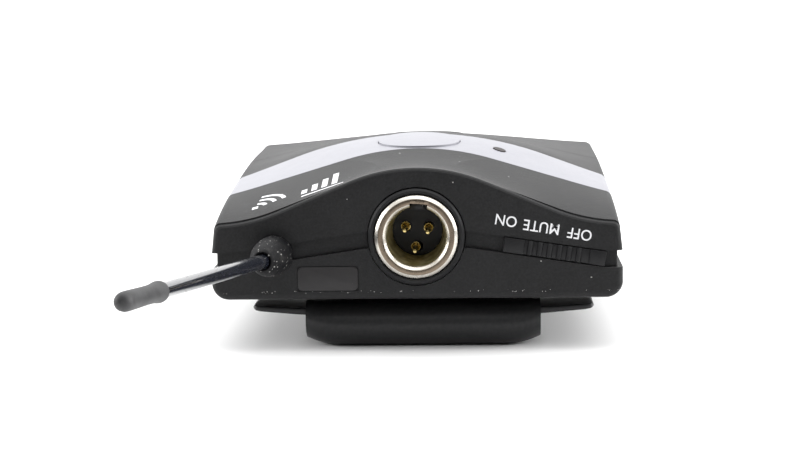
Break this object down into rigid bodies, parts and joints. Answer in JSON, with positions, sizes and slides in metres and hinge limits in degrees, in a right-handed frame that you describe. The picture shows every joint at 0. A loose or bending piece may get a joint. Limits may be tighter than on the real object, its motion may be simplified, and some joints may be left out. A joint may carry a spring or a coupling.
{
  "type": "wireless bodypack transmitter",
  "caption": "Pocket wireless transmitter with a wave-shaped front, a mini audio socket, a slide switch, a whip antenna, a sliding battery door and a sprung belt clip.",
  "frame": {"origin": "on the belt clip's flat resting face, below the middle of the case's outline", "axes": "+X across the case, to the right as the connector end is faced; +Y from the connector end to the battery end; +Z out of the front face"},
  "size_m": [0.0634, 0.1443, 0.0301],
  "materials": {
    "black_shell": "fine matt texture",
    "silver_paint": "satin silver paint",
    "pale_silver": "satin silver paint",
    "smoked_plastic": "clear dark gloss",
    "dark_label": "satin",
    "black_nylon": "smooth satin",
    "bright_nickel": "turned and plated",
    "gold_plate": "gold plated",
    "pressed_steel": "plain",
    "green_board": "solder resist",
    "tinned_steel": "bright tin",
    "chip_plastic": "moulded",
    "red_led": "clear",
    "trimmer_blue": "moulded",
    "trimmer_white": "moulded",
    "cell_wrap": "printed sleeve",
    "contact_nickel": "nickel plated",
    "dusty_rubber": "dusty matt",
    "whip_coating": "smooth gloss",
    "tip_plastic": "moulded",
    "black_steel": "semi-gloss black",
    "dark_screw": "black oxide",
    "zinc_screw": "zinc"
  },
  "bodies": {
    "case": {"front_case": "black_shell", "rear_case": "black_shell", "trim_band": "silver_paint", "badge_disc": "pale_silver", "light_pipe": "smoked_plastic", "label_plaque": "dark_label", "socket_collar": "black_nylon", "socket_shell": "bright_nickel", "socket_insert": "black_nylon", "contact_pins": "gold_plate", "socket_nut": "bright_nickel", "switch_housing": "pressed_steel", "main_board": "green_board", "rf_shield_can": "tinned_steel", "board_components": "chip_plastic", "status_led": "red_led", "gain_trimmer_body": "trimmer_blue", "battery_cell": "cell_wrap", "contact_plate_positive": "contact_nickel", "contact_plate_negative": "contact_nickel", "contact_spring": "contact_nickel", "antenna_boot": "dusty_rubber", "antenna_root": "whip_coating", "antenna_terminal": "contact_nickel", "clip_bracket": "black_steel", "clip_screws": "dark_screw", "case_screws": "dark_screw", "board_screws": "zinc_screw"},
    "door": {"battery_door": "black_shell"},
    "cap": {"switch_cap": "black_nylon"},
    "lever": {"switch_lever": "black_nylon"},
    "rotor": {"gain_trimmer_rotor": "trimmer_white"},
    "whip": {"antenna_whip": "whip_coating", "antenna_tip": "tip_plastic"},
    "tongue": {"clip_tongue": "black_steel"}
  },
  "joints": [
    {"name": "door_slide", "type": "slide", "parent": "case", "child": "door", "axis": [0, 1, 0], "range_m": [0, 0.032]},
    {"name": "switch_slide", "type": "slide", "parent": "case", "child": "cap", "axis": [-0.9887, 0, 0.1498], "range_m": [0, 0.004]},
    {"name": "lever_slide", "type": "slide", "parent": "case", "child": "lever", "axis": [-1, 0, 0], "range_m": [0, 0.00396]},
    {"name": "gain_turn", "type": "hinge", "parent": "case", "child": "rotor", "pos_m": [0.017, 0.00625, 0.0145], "axis": [0, 0, 1], "range_deg": [-135, 135]},
    {"name": "antenna_flex", "type": "hinge", "parent": "case", "child": "whip", "pos_m": [-0.0209, -0.0455, 0.0144], "axis": [0, 0, 1], "range_deg": [-30, 30], "stiffness_Nm_per_rad": 0.03},
    {"name": "clip_flex", "type": "hinge", "parent": "case", "child": "tongue", "pos_m": [0, -0.03375, 0.0033], "axis": [-1, 0, 0], "range_deg": [0, 8], "stiffness_Nm_per_rad": 3}
  ],
  "couplings": [
    {"joint": "lever_slide", "follows": "switch_slide", "ratio": 0.98872}
  ]
}
